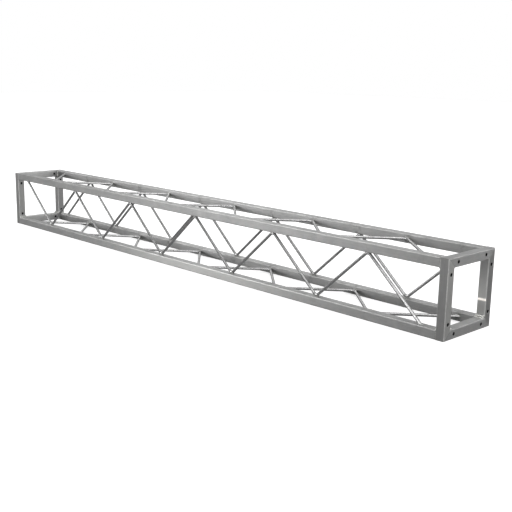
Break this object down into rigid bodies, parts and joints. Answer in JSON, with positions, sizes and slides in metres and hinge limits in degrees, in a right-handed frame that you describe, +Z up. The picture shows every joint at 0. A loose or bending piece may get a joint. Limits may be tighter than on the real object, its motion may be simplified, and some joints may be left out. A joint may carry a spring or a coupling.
{
  "type": "lighting truss section",
  "caption": "Square box truss section for stage lighting: square-tube chords between drilled end frames, with bent round-bar lacing on every side.",
  "frame": {"origin": "middle of the truss's underside: halfway along its length and its depth, on the plane its lower tubes rest on", "axes": "+X along the truss from the left end frame to the right one, +Y from the front side to the back, +Z up"},
  "size_m": [2, 0.2, 0.2],
  "materials": {
    "tube_metal": "mill finish, satin, with fine extrusion lines along each tube",
    "bar_metal": "drawn round bar, brighter and smoother than the tubes"
  },
  "bodies": {
    "root": {"chord_back_top": "tube_metal", "chord_front_top": "tube_metal", "chord_front_bottom": "tube_metal", "chord_back_bottom": "tube_metal", "left_frame_top": "tube_metal", "left_frame_front": "tube_metal", "left_frame_bottom": "tube_metal", "left_frame_back": "tube_metal", "right_frame_top": "tube_metal", "right_frame_front": "tube_metal", "right_frame_bottom": "tube_metal", "right_frame_back": "tube_metal", "lacing_top": "bar_metal", "lacing_front": "bar_metal", "lacing_bottom": "bar_metal", "lacing_back": "bar_metal"}
  },
  "joints": []
}
